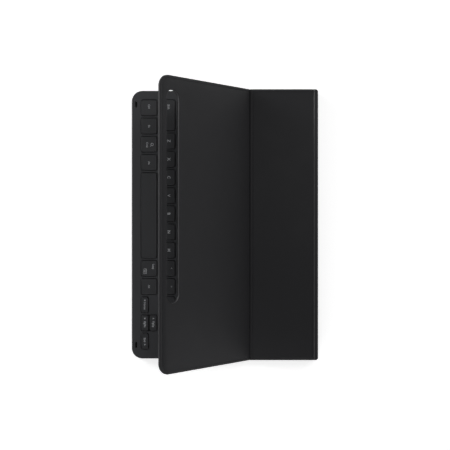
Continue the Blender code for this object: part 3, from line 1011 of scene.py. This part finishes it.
# The edge of the rest's trough, as (inset, depth).
DOCK_TROUGH = ((1.2, 0.0), (1.5, 0.18), (1.8, 0.2))
PAD_EDGE_R = 0.2
PIN_R = 0.9
PIN_DOME = 0.35
PIN_DEPTH = 1.4
# The collar round a pin, as (radius, how far below the rest's rim).
COLLAR_RIM = ((1.7, 0.25), (1.7, 0.1), (1.55, 0.03), (1.15, 0.03), (1.05, 0.25))


def raised_edge(low, high, radius):
    """An edge profile of (inset, z) points that goes up a side and over a rounded rim."""
    rim = [(inset, high - depth) for inset, depth in reversed(quarter(radius))]
    return [(0.0, low), (0.0, high - radius), *rim]


def dock_rest():
    """The bar that the tablet's edge stands on, with a shallow trough along its top."""
    *box, low, high = box_mm("dock_bar")
    edge = raised_edge(low, high, DOCK_EDGE_R)
    edge += [(inset, high - depth) for inset, depth in DOCK_TROUGH]
    rounded_block(
        "dock_rest", box, edge, DOCK_R, DECK, ["dock_bar"], "keyboard_base"
    )


def contact(side):
    """A gold pin with a domed tip, which slides, and the collar round it, which doesn't."""
    node = f"contact_pin_{side}"
    rim = box_mm("dock_bar")[5]
    x0, x1, y0, y1, _, top = box_mm(node)
    x, y = (x0 + x1) / 2, (y0 + y1) / 2
    shoulder = top - PIN_DOME
    profile = [(PIN_R, rim - PIN_DEPTH), (PIN_R, shoulder)]
    for turn in (math.radians(degrees) for degrees in (20, 40, 60, 80)):
        profile.append((PIN_R * math.cos(turn), shoulder + PIN_DOME * math.sin(turn)))
    mesh = bmesh.new()
    solid(mesh, [ring(mesh, circle(x, y, radius), z) for radius, z in profile])
    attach(finished(f"contact_{side}", mesh, GOLD, [node]), node)
    collar = bmesh.new()
    loops = [ring(collar, circle(x, y, radius), rim - below) for radius, below in COLLAR_RIM]
    wall(collar, *loops, loops[0])
    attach(finished(f"contact_collar_{side}", collar, DECK), "keyboard_base")


def bumper(side):
    """A rubber pad, sunk in the deck."""
    node = f"front_bumper_{side}"
    *box, low, high = box_mm(node)
    edge = raised_edge(low, high, PAD_EDGE_R)
    radius = (box[3] - box[2]) / 2
    rounded_block(f"bumper_{side}", box, edge, radius, RUBBER, [node], "keyboard_base")


def dress_hidden_nodes():
    """Better materials for the CAD nodes that stay: the layers and magnets inside the case."""
    finishes = {
        "base_plate": ALUMINIUM,
        "switch_membrane": FILM,
        "dome_sheet": FILM,
        "flex_cable": FILM,
        "control_board": CIRCUIT,
        "spine_core": CARD,
        "lower_panel_core": CARD,
        "upper_panel_core": CARD,
        "dock_magnet_left": NICKEL,
        "dock_magnet_right": NICKEL,
        "upper_panel_magnet_left": NICKEL,
        "upper_panel_magnet_right": NICKEL,
    }
    for node, material in finishes.items():
        for each in frame["nodes"][node].material_slots:
            each.material = material


# The stage. Its lengths are in metres, except the floor's, which are in millimetres.
FLOOR_RADIUS = 2500.0
FLOOR_SIDES = 64
FLOOR_Z = -0.5
FLOOR_GLOW = 0.62
HORIZON_LIGHT = 0.55
ZENITH_LIGHT = 0.08
DOME_BLEND_TO = 0.45
WHITE = (1.0, 1.0, 1.0, 1.0)
# Round lights that point at the origin: (name, place, diameter, power in watts).
LIGHTS = (
    ("front_light", (-0.60, -0.90, 0.45), 0.5, 3.2),
    ("low_light", (-0.50, -1.05, 0.25), 0.4, 5.4),
    ("rear_light", (-0.50, 0.70, 0.60), 0.5, 1.5),
    ("top_light", (0.0, 0.25, 1.20), 0.35, 1.1),
    ("left_light", (-0.45, 0.30, 1.10), 0.35, 1.5),
    ("corner_light", (0.55, -0.05, 0.22), 0.3, 0.8),
)
CAMERA_AT = (0.0003, 0.0004, 0.772)
CAMERA_TURN = 90.0
CAMERA_LENS = 64.66


def stage_floor():
    """A pale, faintly glowing disc of paper, so that it shows as white."""
    mesh = bmesh.new()
    outline = arc(0.0, 0.0, FLOOR_RADIUS, 0, 360, FLOOR_SIDES)[:-1]
    cap(mesh, ring(mesh, outline, FLOOR_Z))
    bmesh.ops.scale(mesh, vec=(MM, MM, MM), verts=mesh.verts)
    data = bpy.data.meshes.new("floor")
    mesh.to_mesh(data)
    mesh.free()
    paper = Nodes("floor_paper", (0.9, 0.9, 0.9), 0.9, specular=0.1)
    paper.colour_from(paper.noise(40, 4), 0.01)
    paper.roughness_from(paper.noise(15, 3), 0.04)
    paper.shader.inputs["Emission Color"].default_value = WHITE
    paper.shader.inputs["Emission Strength"].default_value = FLOOR_GLOW
    data.materials.append(paper.material)
    floor = bpy.data.objects.new("floor", data)
    bpy.context.collection.objects.link(floor)


def stage_world():
    """A dome of light that is bright at the horizon and fades towards the top."""
    world = bpy.data.worlds.new("studio")
    world.use_nodes = True
    tree = world.node_tree
    where = tree.nodes.new("ShaderNodeTexCoord")
    parts = tree.nodes.new("ShaderNodeSeparateXYZ")
    dome = tree.nodes.new("ShaderNodeMapRange")
    dome.interpolation_type = "SMOOTHSTEP"
    dome.inputs["From Min"].default_value = 0.0
    dome.inputs["From Max"].default_value = DOME_BLEND_TO
    dome.inputs["To Min"].default_value = HORIZON_LIGHT
    dome.inputs["To Max"].default_value = ZENITH_LIGHT
    background = tree.nodes["Background"]
    background.inputs["Color"].default_value = WHITE
    tree.links.new(where.outputs["Generated"], parts.inputs["Vector"])
    tree.links.new(parts.outputs["Z"], dome.inputs["Value"])
    tree.links.new(dome.outputs["Result"], background.inputs["Strength"])
    bpy.context.scene.world = world


def stage_light(name, place, size, power):
    lamp = bpy.data.lights.new(name, "AREA")
    lamp.shape = "DISK"
    lamp.size = size
    lamp.energy = power
    light = bpy.data.objects.new(name, lamp)
    light.location = place
    light.rotation_euler = (-Vector(place)).to_track_quat("-Z", "Y").to_euler()
    bpy.context.collection.objects.link(light)


def stage_camera():
    """The photograph's view: straight down, with the keyboard's left at the top."""
    lens = bpy.data.cameras.new("camera")
    lens.lens = CAMERA_LENS
    lens.clip_start = 0.01
    camera = bpy.data.objects.new("camera", lens)
    camera.location = CAMERA_AT
    camera.rotation_euler = (0.0, 0.0, math.radians(CAMERA_TURN))
    bpy.context.collection.objects.link(camera)
    bpy.context.scene.camera = camera
    bpy.context.scene.view_settings.view_transform = "Standard"


cover = cover_sheet(
    "cover_leather", LEATHER_EDGE, LEATHER_SLOT, LEATHER,
    ["lower_panel_skin", "upper_panel_skin", "fold_crease"],
)
finish_rim(cover)
cover_sheet(
    "cover_lining", LINING_EDGE, LINING_SLOT, LINING,
    ["lower_panel_lining", "upper_panel_lining"],
)
rear_leather()
base_leather()
rear_lining()
all_faces = key_faces()
deck(all_faces)
for each_key, each_body, each_box, each_flange in all_faces:
    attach(keycap(each_key, each_body, each_box, each_flange), each_body)
    legend(each_key, each_body, each_box)
dock_rest()
for each_side in ("left", "middle", "right"):
    contact(each_side)
for each_side in ("left", "right"):
    bumper(each_side)
dress_hidden_nodes()
stage_floor()
stage_world()
for each_light in LIGHTS:
    stage_light(*each_light)
stage_camera()
